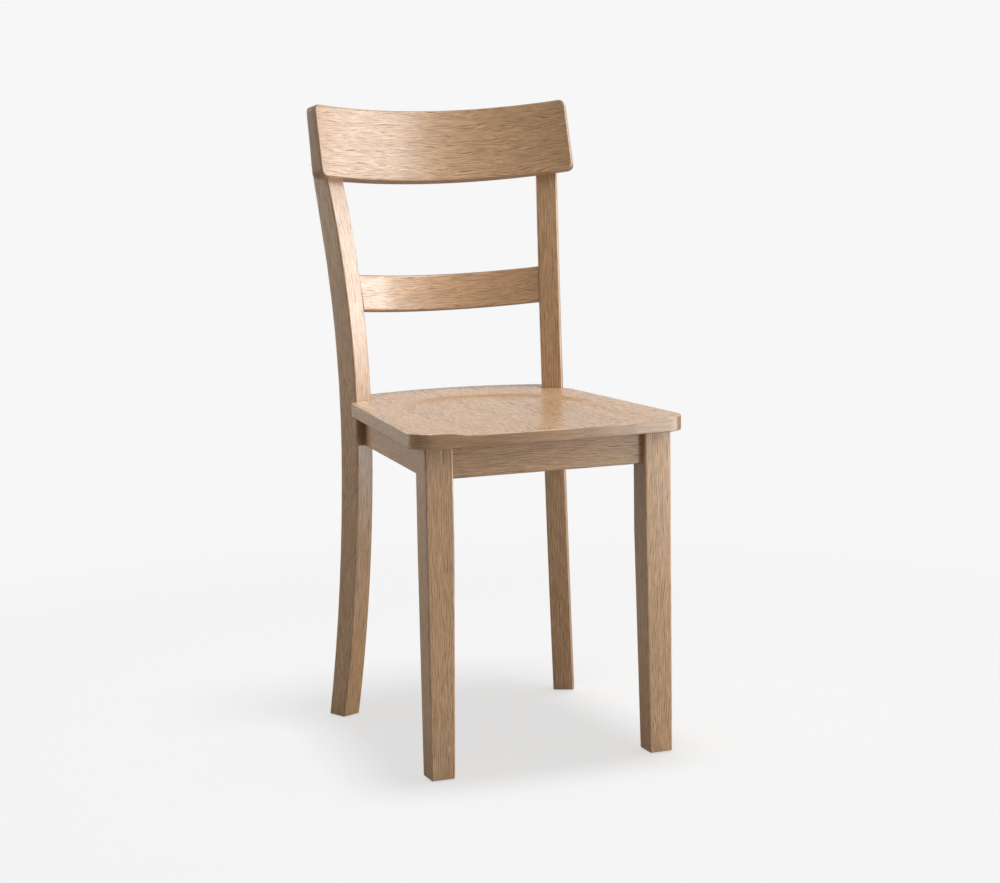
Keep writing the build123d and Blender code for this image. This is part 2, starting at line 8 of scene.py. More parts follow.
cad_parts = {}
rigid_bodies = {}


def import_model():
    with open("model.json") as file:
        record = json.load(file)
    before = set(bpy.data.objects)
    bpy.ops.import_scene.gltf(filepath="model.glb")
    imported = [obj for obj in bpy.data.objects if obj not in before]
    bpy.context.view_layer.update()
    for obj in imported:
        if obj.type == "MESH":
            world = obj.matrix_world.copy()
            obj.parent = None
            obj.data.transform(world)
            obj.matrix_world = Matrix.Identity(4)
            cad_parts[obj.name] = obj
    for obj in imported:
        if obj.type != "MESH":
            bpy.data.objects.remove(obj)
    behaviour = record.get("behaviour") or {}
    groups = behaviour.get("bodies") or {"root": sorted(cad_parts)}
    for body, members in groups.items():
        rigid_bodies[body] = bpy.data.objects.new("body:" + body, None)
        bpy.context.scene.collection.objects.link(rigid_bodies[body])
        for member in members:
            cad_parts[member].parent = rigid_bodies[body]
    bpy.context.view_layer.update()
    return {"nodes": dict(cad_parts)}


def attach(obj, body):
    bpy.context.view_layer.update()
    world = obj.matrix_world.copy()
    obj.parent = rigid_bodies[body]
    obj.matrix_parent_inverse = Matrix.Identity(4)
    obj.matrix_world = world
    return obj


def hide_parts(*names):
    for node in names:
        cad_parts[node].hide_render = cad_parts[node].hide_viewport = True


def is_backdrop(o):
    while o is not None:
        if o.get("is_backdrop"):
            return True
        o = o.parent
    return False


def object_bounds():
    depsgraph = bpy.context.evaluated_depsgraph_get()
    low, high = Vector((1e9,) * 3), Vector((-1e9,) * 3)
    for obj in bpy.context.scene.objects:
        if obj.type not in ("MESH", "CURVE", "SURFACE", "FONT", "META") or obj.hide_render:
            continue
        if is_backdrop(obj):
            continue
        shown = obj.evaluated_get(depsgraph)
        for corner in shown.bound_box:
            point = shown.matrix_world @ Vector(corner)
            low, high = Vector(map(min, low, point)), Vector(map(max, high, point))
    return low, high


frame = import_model()

# Front legs: square lengths of oak, straight past the seat frame and tapered below it on the two
# inner faces. The arrises are eased, and the wood has a clear satin finish over open pores.
mm = 0.001
foot_bottom = 1.5 * mm
frame_top = 437 * mm
leg_outer_x = -172.5 * mm
leg_front_y = -212 * mm
leg_size = 38 * mm
leg_foot_size = 33 * mm
leg_taper_top = 300 * mm
leg_arris = 2.5 * mm
foot_chamfer = 0.8 * mm
arris_steps = 4


class Wire:
    """A socket of a finish. Arithmetic on it adds the Math nodes that work the sum out."""

    def __init__(self, tree, socket=None):
        self.tree = tree
        self.socket = socket

    def node(self, kind, settings=None, inputs=None, output=0):
        """Adds a node of any other kind: its settings first, then its sockets' values or wires."""
        made = self.tree.nodes.new("ShaderNode" + kind)
        for name, value in (settings or {}).items():
            setattr(made, name, value)
        for name, value in (inputs or {}).items():
            if isinstance(value, Wire):
                self.tree.links.new(value.socket, made.inputs[name])
            else:
                made.inputs[name].default_value = value
        return Wire(self.tree, made.outputs[output])

    def feed(self, socket):
        """Links this value to a socket of the shader."""
        self.tree.links.new(self.socket, socket)

    def sum(self, operation, first, second):
        return self.node("Math", {"operation": operation}, {0: first, 1: second})

    def __add__(self, other):
        return self.sum("ADD", self, other)

    def __sub__(self, other):
        return self.sum("SUBTRACT", self, other)

    def __rsub__(self, other):
        return self.sum("SUBTRACT", other, self)

    def __mul__(self, other):
        return self.sum("MULTIPLY", self, other)

    def __truediv__(self, other):
        return self.sum("DIVIDE", self, other)

    def __pow__(self, other):
        return self.sum("POWER", self, other)

    __radd__ = __add__
    __rmul__ = __mul__


def fade(value, low, high):
    """0 below low, 1 above high and a smooth rise between."""
    span = {"Value": value, "From Min": low, "From Max": high}
    return value.node("MapRange", {"interpolation_type": "SMOOTHSTEP"}, span)


def mottle(place, length, width, detail=1.0, distortion=0.0):
    """Noise drawn out along the grain: length and width are the size of its marks in metres."""
    size = (1 / length, 1 / width, 1 / width)
    drawn = place.node("VectorMath", {"operation": "MULTIPLY"}, {0: place, 1: size})
    inputs = {"Vector": drawn, "Scale": 1.0, "Detail": detail, "Distortion": distortion}
    return place.node("TexNoise", None, inputs)


def blend(share, first, second, how="MIX"):
    """Mixes two colours; share may be a number or a wire."""
    tint = {"data_type": "RGBA", "blend_type": how}
    wire = next(part for part in (share, first, second) if isinstance(part, Wire))
    return wire.node("Mix", tint, {0: share, 6: first, 7: second}, 2)


def wood(name, pale, dark, pores=1.0, growth=2.1 * mm, wave=1.0, boards=None, turned=None):
    """Open-pored wood with growth rings, dashes of pores, fibres, end grain and rubbed arrises.
    A board keeps on its mesh where each point lay in the log: along, across and through it."""
    sway_reach = 12 * mm
    ripple_reach = 5 * mm * wave
    pore_depth = 0.5 * mm
    sawn_end = (0.62, 0.58, 0.54, 1)
    rubbed = (0.72, 0.55, 0.39, 1)
    finish = bpy.data.materials.new(name)
    finish.use_nodes = True
    sockets = finish.node_tree.nodes["Principled BSDF"].inputs
    blank = Wire(finish.node_tree)
    if turned is None:
        log = blank.node("Attribute", {"attribute_name": "grain"}, output="Vector")
    else:
        place = blank.node("TexCoord", output="Object")
        turn = {"Vector": place, "Rotation": turned}
        log = blank.node("VectorRotate", {"rotation_type": "EULER_XYZ"}, turn)
    along = log.node("SeparateXYZ", None, {0: log}, "X")
    across = log.node("SeparateXYZ", None, {0: log}, "Y")
    through = log.node("SeparateXYZ", None, {0: log}, "Z")
    tone = 1.0
    if boards:
        # An edge-glued panel: each board comes from another place in the log.
        number = log.node("Math", {"operation": "FLOOR"}, {0: across / boards})
        chance = log.node("TexWhiteNoise", {"noise_dimensions": "1D"}, {"W": number + 0.5})
        along = along + chance * 9.0
        across = across - number * boards + chance * 0.05 + 0.04
        tone = chance * 0.14 + 0.93
    log = log.node("CombineXYZ", None, {0: along, 1: across, 2: through})
    sway = (mottle(log, 160 * mm, 50 * mm, 2.0) - 0.5) * sway_reach
    ripple = (mottle(log, 40 * mm, 10 * mm) - 0.5) * ripple_reach
    across = across + sway + ripple
    through = through + sway * 0.6
    laid = log.node("CombineXYZ", None, {0: along, 1: across, 2: through})
    radius = (across * across + through * through) ** 0.5
    year = log.node("Math", {"operation": "FLOOR"}, {0: radius / growth})
    ring = log.node("Math", {"operation": "FRACT"}, {0: radius / growth})
    rain = log.node("TexWhiteNoise", {"noise_dimensions": "1D"}, {"W": year + 0.5})
    early = (1 - fade(ring, 0.1, 0.55)) * (rain * 0.6 + 0.4)
    hair = early * (fade(mottle(laid, 17 * mm, growth * 0.65, 2.0), 0.38, 0.6) * 0.85 + 0.15)
    dash = fade(mottle(laid, 22 * mm, growth * 0.45, 2.0), 0.46, 0.64)
    pore = fade(mottle(laid, 7 * mm, 0.9 * mm), 0.52, 0.68)
    fibre = mottle(laid, 26 * mm, 1.3 * mm, 2.0)
    broad = mottle(log, 300 * mm, 40 * mm)
    arris = blank.node("Attribute", {"attribute_name": "arris"}, output="Fac")
    end = blank.node("Attribute", {"attribute_name": "end_grain"}, output="Fac")
    # Across a sawn end the streaks follow the growth rings, not the fibres.
    sawn = log.node("CombineXYZ", None, {0: across, 1: through, 2: along})
    fibre = fibre + (mottle(sawn, 40 * mm, 4 * mm, 2.0) - fibre) * end
    mark = (hair * 0.62 + dash * 0.24 + pore * 0.2) * (1 - end * 0.65) * pores
    mark = log.node("Clamp", None, {0: mark})
    colour = blend(mark, pale, dark)
    shade = (fibre * 1.3 + 0.34) * (broad * 0.16 + 0.92) * tone
    colour = blend(1.0, colour, shade, "MULTIPLY")
    colour = blend(end * 0.6, colour, sawn_end, "MULTIPLY")
    worn = arris * fade(mottle(log, 50 * mm, 20 * mm, 2.0), 0.35, 0.7)
    colour = blend(worn * 0.35, colour, rubbed)
    colour.feed(sockets["Base Color"])
    rough = mark * 0.3 + fibre * 0.1 + 0.36 - worn * 0.06
    rough.feed(sockets["Roughness"])
    coat = 1 - mark * 0.9
    coat.feed(sockets["Coat Weight"])
    relief = {"Strength": 0.35, "Distance": pore_depth, "Height": fibre * 0.25 - mark}
    log.node("Bump", None, relief).feed(sockets["Normal"])
    sockets["Coat Roughness"].default_value = 0.28
    sockets["Coat IOR"].default_value = 1.86
    return finish


def rounded_section(low, high, radii):
    """A rectangle with eased corners: the points in order, and how far each is round its arris."""
    section = []
    corners = ((high[0], high[1]), (low[0], high[1]), (low[0], low[1]), (high[0], low[1]))
    for quarter, (corner, radius) in enumerate(zip(corners, radii)):
        centre_x = corner[0] + (radius if corner[0] == low[0] else -radius)
        centre_y = corner[1] + (radius if corner[1] == low[1] else -radius)
        for step in range(arris_steps + 1):
            turn = math.radians(90 * (quarter + step / arris_steps))
            x = centre_x + radius * math.cos(turn)
            y = centre_y + radius * math.sin(turn)
            section.append((x, y, math.sin(math.pi * step / arris_steps)))
    return section


def finish_board(shape, node, finish, grain):
    """Turns a shaped board into a piece of the chair that stands for its CAD node."""
    bmesh.ops.recalc_face_normals(shape, faces=shape.faces[:])
    mesh = bpy.data.meshes.new(node + "_board")
    shape.to_mesh(mesh)
    shape.free()
    place = mesh.attributes.new("grain", "FLOAT_VECTOR", "POINT")
    for vert, spot in zip(mesh.vertices, place.data):
        spot.vector = grain(vert.co)
    mesh.shade_smooth()
    mesh.materials.append(finish)
    board = bpy.data.objects.new(node + "_board", mesh)
    bpy.context.scene.collection.objects.link(board)
    flats = board.modifiers.new("flat_faces", "WEIGHTED_NORMAL")
    flats.keep_sharp = True
    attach(board, "root")
    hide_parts(node)
    return board


def loft_board(rings, section, cuts=()):
    """Skins a board over its rings and saws it off at each cut, a point and the waste's side. The
    section that the rings came from says where its arrises are."""
    shape = bmesh.new()
    arris = shape.verts.layers.float.new("arris")
    end = shape.faces.layers.float.new("end_grain")
    loops = []
    for ring in rings:
        loop = [shape.verts.new(point) for point in ring]
        for vert, (*_, worn) in zip(loop, section):
            vert[arris] = worn
        loops.append(loop)
    for lower, upper in zip(loops, loops[1:]):
        for here in range(len(lower)):
            shape.faces.new((lower[here - 1], lower[here], upper[here], upper[here - 1]))
    ends = [shape.faces.new(loops[0]), shape.faces.new(loops[-1])]
    for point, waste in cuts:
        everything = shape.verts[:] + shape.edges[:] + shape.faces[:]
        sawn = bmesh.ops.bisect_plane(
            shape, geom=everything, plane_co=point, plane_no=waste, clear_outer=True
        )
        rim = [part for part in sawn["geom_cut"] if isinstance(part, bmesh.types.BMEdge)]
        ends += bmesh.ops.edgeloop_fill(shape, edges=rim)["faces"]
    for face in ends:
        if face.is_valid:
            face[end] = 1.0
            for edge in face.edges:
                edge.smooth = False
    return shape


oak_pale = (0.6, 0.357, 0.182, 1)
oak_dark = (0.2, 0.102, 0.046, 1)
oak_frame = wood("oak_frame", oak_pale, oak_dark)
for side, node in ((1, "front_left_leg"), (-1, "front_right_leg")):
    rings = []
    for z, size, inset in (
        (foot_bottom, leg_foot_size, foot_chamfer),
        (foot_bottom + foot_chamfer, leg_foot_size, 0.0),
        (leg_taper_top, leg_size, 0.0),
        (frame_top, leg_size, 0.0),
    ):
        low = (leg_outer_x + inset, leg_front_y + inset)
        high = (leg_outer_x + size - inset, leg_front_y + size - inset)
        section = rounded_section(low, high, [leg_arris - inset] * 4)
        rings.append([Vector((side * x, y, z)) for x, y, _ in section])
    leg = loft_board(rings, section)
    log_place = Vector((1.3 * side, 0.05 * side, 0.31))
    finish_board(
        leg, node, oak_frame, lambda at: Vector((at.z, at.x, at.y)) + log_place
    )

# Floor glides: moulded nylon discs let into the four feet, each held by one steel nail whose head
# sits in the glide's recess. They keep their turned CAD shape.


def dress(node, finish):
    """Gives a piece that keeps its CAD shape its finish."""
    finishes = frame["nodes"][node].data.materials
    finishes.clear()
    finishes.append(finish)


nylon_dark = (0.024, 0.017, 0.012, 1)
nylon_scuffed = (0.075, 0.06, 0.048, 1)
nylon = bpy.data.materials.new("glide_nylon")
nylon.use_nodes = True
shader = nylon.node_tree.nodes["Principled BSDF"]
place = Wire(nylon.node_tree).node("TexCoord", output="Object")
scuff = fade(mottle(place, 6 * mm, 2 * mm, 3.0, 0.8), 0.5, 0.7)
grime = mottle(place, 9 * mm, 9 * mm, 2.0)
colour = blend(scuff * 0.5, nylon_dark, nylon_scuffed)
colour.feed(shader.inputs["Base Color"])
rough = scuff * 0.2 + grime * 0.2 + 0.4
rough.feed(shader.inputs["Roughness"])

steel_grey = (0.42, 0.41, 0.38, 1)
steel_bright = (0.6, 0.58, 0.5, 1)
steel = bpy.data.materials.new("screw_steel")
steel.use_nodes = True
shader = steel.node_tree.nodes["Principled BSDF"]
place = Wire(steel.node_tree).node("TexCoord", output="Object")
plating = mottle(place, 4 * mm, 4 * mm, 3.0)
scratch = mottle(place, 12 * mm, 0.6 * mm, 2.0)
colour = blend(plating, steel_grey, steel_bright)
colour.feed(shader.inputs["Base Color"])
rough = plating * 0.2 + scratch * 0.2 + 0.18
rough.feed(shader.inputs["Roughness"])
shader.inputs["Metallic"].default_value = 1.0
for node in ("front_left_glide", "front_right_glide", "rear_left_glide", "rear_right_glide"):
    dress(node, nylon)
dress("glide_nails", steel)

# Rear posts: each one sawn from a plank to a sabre curve that runs from the floor to the crest
# rail. They stand toed in and lean out a little towards the floor, and the grain follows the curve.
post_foot = Vector((-151.2, 113.5, 0)) * mm
post_toe_in = math.radians(25)
post_splay = math.radians(1.3)
post_half_width = 15 * mm
post_arris = 2.5 * mm
post_front_waist = 380 * mm
post_front_kick = 32.8 * mm
post_front_rake = 55 * mm
post_rear_waist = 369.5 * mm
post_waist_depth = 34.6 * mm
post_foot_straight = 26 * mm
post_foot_flare = 25 * mm
post_rear_bend = 680 * mm
post_rear_rake = 34 * mm
post_blank_bottom = -6 * mm
post_ring_gap = 14 * mm
post_ring_count = 63
lap_bottom = 757 * mm
lap_length = 38 * mm
post_back = Vector((-math.sin(post_toe_in), math.cos(post_toe_in), 0))
post_inward = Vector((math.cos(post_toe_in), math.sin(post_toe_in), 0))
post_up = Vector((0, 0, math.cos(post_splay))) + post_inward * math.sin(post_splay)
post_across = post_inward * math.cos(post_splay) - Vector((0, 0, math.sin(post_splay)))
lap_lean = 2 * math.atan2(post_front_rake, lap_bottom - post_front_waist)


def bow(run, reach, rise):
    """How far a curve that starts straight up has bent after a run: an arc that bends by rise at
    its reach, and from there on a straight line."""
    radius = (rise * rise + reach * reach) / (2 * rise)
    if run > reach:
        return rise + (run - reach) * math.tan(2 * math.atan2(rise, reach))
    return radius - math.sqrt(radius * radius - run * run)


def post_front(height):
    """Depth of the post's front face at a height."""
    if height < post_front_waist:
        return bow(post_front_waist - height, post_front_waist, post_front_kick)
    return bow(height - post_front_waist, lap_bottom - post_front_waist, post_front_rake)


def post_rear(height):
    """Depth of the post's rear face at a height."""
    if height < post_rear_waist:
        run = post_rear_waist - height
        return post_waist_depth + bow(run, post_rear_waist - post_foot_straight, post_foot_flare)
    run = height - post_rear_waist
    return post_waist_depth + bow(run, post_rear_bend - post_rear_waist, post_rear_rake)


def on_post(depth, height, across, side=1):
    """A point of the left post, or of the right one as its mirror image."""
    at = post_foot + post_back * depth + post_up * height + post_across * across
    return Vector((side * at.x, at.y, at.z))


def mirrored(vector, side):
    """A place or direction of the left side, or its mirror image on the right."""
    return Vector((side * vector.x, vector.y, vector.z))


def plank_grain(at, side):
    """Where a point of a post lay along, across and through its plank."""
    flat = mirrored(at, side) - post_foot
    height = flat.dot(post_up)
    depth = flat.dot(post_back) - (post_front(height) + post_rear(height)) / 2
    return Vector((height, flat.dot(post_across), depth))


lap_up = post_back * math.sin(lap_lean) + post_up * math.cos(lap_lean)
lap_top = on_post(post_front_rake, lap_bottom, 0) + lap_up * lap_length
for side, node in ((1, "rear_left_post"), (-1, "rear_right_post")):
    rings = []
    for step in range(post_ring_count):
        height = post_blank_bottom + post_ring_gap * step
        low = (post_front(height), -post_half_width)
        high = (post_rear(height), post_half_width)
        section = rounded_section(low, high, [post_arris] * 4)
        rings.append([on_post(depth, height, across, side) for depth, across, _ in section])
    cuts = (
        (Vector((0, 0, foot_bottom)), Vector((0, 0, -1))),
        (mirrored(lap_top, side), mirrored(lap_up, side)),
    )
    post = loft_board(rings, section, cuts)
    log_place = Vector((2.9 * side, 0.07 * side, 0.12))
    finish_board(post, node, oak_frame, lambda at: plank_grain(at, side) + log_place)

# Aprons: the four rails of the seat frame, straight at the front and sides and bent at the back.
# Each is planed oak with its lower arrises eased, set back from the legs and doweled to them.
apron_bottom = 394 * mm
apron_thickness = 18 * mm
apron_setback = 9 * mm
apron_arrises = [0.3 * mm, 0.3 * mm, 2 * mm, 2 * mm]
leg_inner_x = leg_outer_x + leg_size
leg_rear_y = leg_front_y + leg_size
front_low = (leg_front_y + apron_setback, apron_bottom)
front_high = (front_low[0] + apron_thickness, frame_top)
section = rounded_section(front_low, front_high, apron_arrises)
rings = [[Vector((x, y, z)) for y, z, _ in section] for x in (leg_inner_x, -leg_inner_x)]
front_apron = loft_board(rings, section)
log_place = Vector((5.2, -0.34, 0.3))
finish_board(
    front_apron,
    "front_apron",
    oak_frame,
    lambda at: Vector((at.x, at.z, at.y)) + log_place,
)

side_apron_x = -163.2 * mm
side_apron_toe_in = math.radians(3.7)
side_apron_slope = math.tan(side_apron_toe_in)
side_apron_width = apron_thickness / math.cos(side_apron_toe_in)
side_apron_past = 200 * mm
apron_middle = (apron_bottom + frame_top) / 2
waist_radius = post_front_rake / (1 - math.cos(lap_lean))
joint_lean = math.asin((apron_middle - post_front_waist) / waist_radius)
joint_face = on_post(post_front(apron_middle), apron_middle, 0)
joint_waste = post_back * math.cos(joint_lean) - post_up * math.sin(joint_lean)
post_inner_face = on_post(0, 0, post_half_width)
for side, node in ((1, "left_apron"), (-1, "right_apron")):
    low = (side_apron_x, apron_bottom)
    high = (side_apron_x + side_apron_width, frame_top)
    section = rounded_section(low, high, apron_arrises)
    rings = []
    for y in (leg_rear_y, side_apron_past):
        lean = (y - leg_rear_y) * side_apron_slope
        rings.append([Vector((side * (x + lean), y, z)) for x, z, _ in section])
    cuts = (
        (mirrored(joint_face, side), mirrored(joint_waste, side)),
        (mirrored(post_inner_face, side), mirrored(post_across, side)),
    )
    rail = loft_board(rings, section, cuts)
    log_place = Vector((6.6 * side, 0.02 * side - 0.36, 0.1 * side))
    finish_board(
        rail, node, oak_frame, lambda at: Vector((at.y, at.z, at.x)) + log_place
    )

rear_apron_depth = 18 * mm
rear_apron_half_turn = math.radians(28)
rear_apron_steps = 16
rear_joint = on_post(0, apron_middle, 0) + post_inward * post_half_width
rear_joint += post_back * rear_apron_depth
rear_apron_radius = -rear_joint.x / math.sin(post_toe_in)
rear_apron_centre = rear_joint.y - rear_apron_radius * math.cos(post_toe_in)
low = (rear_apron_radius - apron_thickness / 2, apron_bottom)
high = (rear_apron_radius + apron_thickness / 2, frame_top)
section = rounded_section(low, high, apron_arrises)
rings = []
for step in range(-rear_apron_steps, rear_apron_steps + 1):
    turn = rear_apron_half_turn * step / rear_apron_steps
    ring = []
    for radius, z, _ in section:
        out = rear_apron_centre + radius * math.cos(turn)
        ring.append(Vector((radius * math.sin(turn), out, z)))
    rings.append(ring)
post_cuts = [(mirrored(post_inner_face, side), mirrored(-post_across, side)) for side in (1, -1)]
rear_apron = loft_board(rings, section, post_cuts)
log_place = Vector((9.4, -0.37, 0.02))
finish_board(
    rear_apron,
    "rear_apron",
    oak_frame,
    lambda at: Vector((at.x, at.z, at.y)) + log_place,
)

# Apron dowels: turned beech pegs, two in each joint of the seat frame, glued in blind.
beech_pale = (0.6, 0.42, 0.27, 1)
beech_dark = (0.42, 0.27, 0.16, 1)
dowel_wood = wood("dowel_wood", beech_pale, beech_dark, 0.5, turned=(0, 0, 0))
dress("apron_dowels", dowel_wood)

# Corner blocks: sawn beech braces across the four inside corners of the seat frame, left raw. Two
# steel screws in counterbores hold each block to its aprons, and one more goes up into the seat.
for node, turn in (
    ("front_left_corner_block", -45),
    ("front_right_corner_block", 45),
    ("rear_left_corner_block", 56),
    ("rear_right_corner_block", -56),
):
    name = "block_wood_" + node.removesuffix("_corner_block")
    raw = wood(name, beech_pale, beech_dark, 0.6, turned=(0, 0, math.radians(turn)))
    dress(node, raw)
dress("corner_block_screws", steel)
dress("seat_screws", steel)

# Seat: a panel edge-glued from oak boards that run front to back, sawn to a rounded outline and
# hollowed to a shallow dish that runs out through the front edge. It is notched round the posts.
seat_height = 457 * mm
seat_front_y = -233 * mm
seat_front_radius = 1700 * mm
seat_half_width = 194.8 * mm
seat_side_slope = 0.087
seat_corner = 29 * mm
seat_back_y = 199 * mm
seat_back_radius = 370 * mm
seat_arris = 1.5 * mm
seat_notch_arris = 0.3 * mm
seat_post_gap = 0.6 * mm
seat_centre = Vector((0, -20 * mm))
dish_depth = 4 * mm
dish_half_width = 138 * mm
dish_back_y = 109 * mm
dish_corner = 126 * mm
dish_side_slope = 17 * mm
dish_front_slope = 42 * mm
dish_front_flare = 12 * mm
dish_back_slope = 14 * mm
dish_run_out_y = -60 * mm
dish_run_out = 140 * mm
dish_halvings = 20


def dish_share(x, y):
    """How far a point of the seat is down the soft slope at the rim of the hollow: 0 or less
    outside it, 1 or more on the level inside. The slope widens where it runs out at the front."""
    run_out = min(max((dish_run_out_y - y) / dish_run_out, 0.0), 1.0)
    side = abs(x) - (dish_half_width - dish_corner) - dish_front_flare * run_out
    back = y - (dish_back_y - dish_corner)
    if side > 0 and back > 0:
        reach = math.hypot(side, back)
        share = (back / reach) ** 2
    else:
        reach = max(side, back)
        share = 1.0 if back > side else 0.0
    side_slope = dish_side_slope + (dish_front_slope - dish_side_slope) * run_out
    slope = side_slope + (dish_back_slope - side_slope) * share
    return (dish_corner - reach) / slope


def dish(x, y):
    """Depth of the hollow at a point of the seat."""
    inside = min(max(dish_share(x, y), 0.0), 1.0)
    return dish_depth * inside * inside * (3 - 2 * inside)


def dish_place(x, y, share):
    """Where on the line from the seat's middle to a point of its edge the slope has this share."""
    near, far = 0.0, 1.0
    for _ in range(dish_halvings):
        half = (near + far) / 2
        at = seat_centre + (Vector((x, y)) - seat_centre) * half
        if dish_share(at.x, at.y) > share:
            near = half
        else:
            far = half
    return near


def seat_edge():
    """The left half of the seat's outline, from the front middle to the back middle, with the
    rounding of its arris at each point."""
    front_steps, corner_steps, side_steps = 32, 12, 32
    notch_steps, post_steps, back_steps = 7, 6, 16
    points = []
    side_lean = math.hypot(1, seat_side_slope)
    start_x = seat_corner * side_lean - seat_half_width
    reach = seat_front_radius - start_x * seat_side_slope
    room = start_x**2 + (2 * seat_front_radius - seat_corner) * seat_corner
    rise = (reach - math.sqrt(reach**2 - side_lean**2 * room)) / side_lean**2
    corner_x = start_x + seat_side_slope * rise
    corner_y = seat_front_y + rise
    front_turn = math.asin(corner_x / (seat_front_radius - seat_corner))
    corner_turn = math.pi / 2 + front_turn + math.atan(seat_side_slope)
    for step in range(front_steps):
        turn = front_turn * step / front_steps
        y = seat_front_y + seat_front_radius * (1 - math.cos(turn))
        points.append((seat_front_radius * math.sin(turn), y, seat_arris))
    for step in range(corner_steps + 1):
        turn = math.radians(270) + front_turn - corner_turn * step / corner_steps
        x = corner_x + seat_corner * math.cos(turn)
        points.append((x, corner_y + seat_corner * math.sin(turn), seat_arris))
    notch = on_post(0, frame_top, 0) + post_inward * (post_half_width + 2 * seat_post_gap)
    notch += post_back * seat_post_gap
    spare = notch.x + seat_half_width - seat_side_slope * (notch.y - seat_front_y)
    outside = notch - post_inward * (spare / (post_inward.x - seat_side_slope * post_inward.y))
    start = Vector(points[-1])
    for step in range(1, side_steps + 1):
        share = step / side_steps
        x = start.x + (outside.x - start.x) * share
        points.append((x, start.y + (outside.y - start.y) * share, seat_arris))
    for step in range(1, notch_steps + 1):
        at = outside.lerp(notch, step / notch_steps)
        points.append((at.x, at.y, seat_notch_arris))
    arc_y = seat_back_y - seat_back_radius
    level = notch.x * post_back.x + (notch.y - arc_y) * post_back.y
    gap = notch.x**2 + (notch.y - arc_y) ** 2 - seat_back_radius**2
    inside = notch + post_back * (math.sqrt(level * level - gap) - level)
    for step in range(1, post_steps + 1):
        at = notch.lerp(inside, step / post_steps)
        points.append((at.x, at.y, seat_notch_arris if step < post_steps else seat_arris))
    last_turn = math.asin(inside.x / seat_back_radius)
    for step in range(1, back_steps + 1):
        turn = last_turn * (1 - step / back_steps)
        y = arc_y + seat_back_radius * math.cos(turn)
        points.append((seat_back_radius * math.sin(turn), y, seat_arris))
    return points


left_edge = seat_edge()
edge = left_edge + [(-x, y, rounding) for x, y, rounding in left_edge[-2:0:-1]]
sharpest_mitre = 0.5
inward = []
for here in range(len(edge)):
    before = Vector(edge[here - 1][:2])
    at = Vector(edge[here][:2])
    after = Vector(edge[(here + 1) % len(edge)][:2])
    first = (at - before).normalized()
    second = (after - at).normalized()
    normal = Vector((first.y + second.y, -first.x - second.x)).normalized()
    inward.append(normal / max(normal.dot(Vector((first.y, -first.x))), sharpest_mitre))

seat = bmesh.new()
arris = seat.verts.layers.float.new("arris")
end = seat.faces.layers.float.new("end_grain")


def seat_ring(inset, drop, top, places=None, worn=0.0):
    """One ring of the seat: inset and drop are shares of the arris rounding at each point. A ring
    of the top has its place between the middle and each point."""
    ring = []
    for (x, y, rounding), normal, place in zip(edge, inward, places or [1.0] * len(edge)):
        at = Vector((x, y)) + normal * (inset * rounding)
        at = seat_centre + (at - seat_centre) * place
        z = frame_top + drop * rounding
        if top:
            z = seat_height - dish(at.x, at.y) - drop * rounding
        vert = seat.verts.new((at.x, at.y, z))
        vert[arris] = worn
        ring.append(vert)
    return ring


rings = []
for top in (False, True):
    for step in range(arris_steps + 1):
        turn = math.pi / 2 * step / arris_steps
        inset, drop = 1 - math.sin(turn), 1 - math.cos(turn)
        if top:
            inset, drop = drop, inset
        rings.append(seat_ring(inset, drop, top, worn=math.sin(2 * turn)))
seat_ring_gap = 0.04
rim_place = [1.0] * len(edge)
hub_place = [0.02] * len(edge)
outer_rim = [min(dish_place(x, y, 0.0), 1 - seat_ring_gap) for x, y, _ in edge]
inner_rim = [
    min(dish_place(x, y, 1.0), outer - seat_ring_gap) for (x, y, _), outer in zip(edge, outer_rim)
]
for start, stop, count in (
    (rim_place, outer_rim, 7),
    (outer_rim, inner_rim, 14),
    (inner_rim, hub_place, 12),
):
    for step in range(1, count + 1):
        share = step / count
        places = [first + (last - first) * share for first, last in zip(start, stop)]
        rings.append(seat_ring(1, 0, True, places))
for lower, upper in zip(rings, rings[1:]):
    for here in range(len(edge)):
        seat.faces.new((lower[here - 1], lower[here], upper[here], upper[here - 1]))
seat.faces.new(rings[0])
seat.faces.new(rings[-1])
seat.normal_update()
end_gain = 2.2
for face in seat.faces:
    face[end] = min(1.0, end_gain * abs(face.normal.y))
ring_squeeze = 2.5
log_place = Vector((12.0, 0.1925, -1.04))
oak_seat = wood("oak_seat", oak_pale, oak_dark, 1.3, growth=3.4 * mm, boards=77 * mm)
finish_board(
    seat,
    "seat_panel",
    oak_seat,
    lambda at: Vector((at.y, at.x, at.z * ring_squeeze)) + log_place,
)

# Lumbar rail: oak bent to an arc and raked back, let in between the posts on two dowels at each
# end. Its long arrises are eased a little more than the rest of the frame.
lumbar_middle = Vector((0, 171.9, 574.3)) * mm
lumbar_rake = math.radians(13)
lumbar_radius = 280 * mm
lumbar_height = 50.4 * mm
lumbar_thickness = 20 * mm
lumbar_arris = 3 * mm
lumbar_half_turn = math.radians(36)
lumbar_steps = 24
lumbar_up = Vector((0, math.sin(lumbar_rake), math.cos(lumbar_rake)))
lumbar_back = Vector((0, math.cos(lumbar_rake), -math.sin(lumbar_rake)))
low = (lumbar_radius, 0.0)
high = (lumbar_radius + lumbar_thickness, lumbar_height)
section = rounded_section(low, high, [lumbar_arris] * 4)
rings = []
for step in range(-lumbar_steps, lumbar_steps + 1):
    turn = lumbar_half_turn * step / lumbar_steps
    ring = []
    for radius, height, _ in section:
        out = lumbar_back * (radius * math.cos(turn) - lumbar_radius) + lumbar_up * height
        ring.append(lumbar_middle + out + Vector((radius * math.sin(turn), 0, 0)))
    rings.append(ring)
lumbar = loft_board(rings, section, post_cuts)


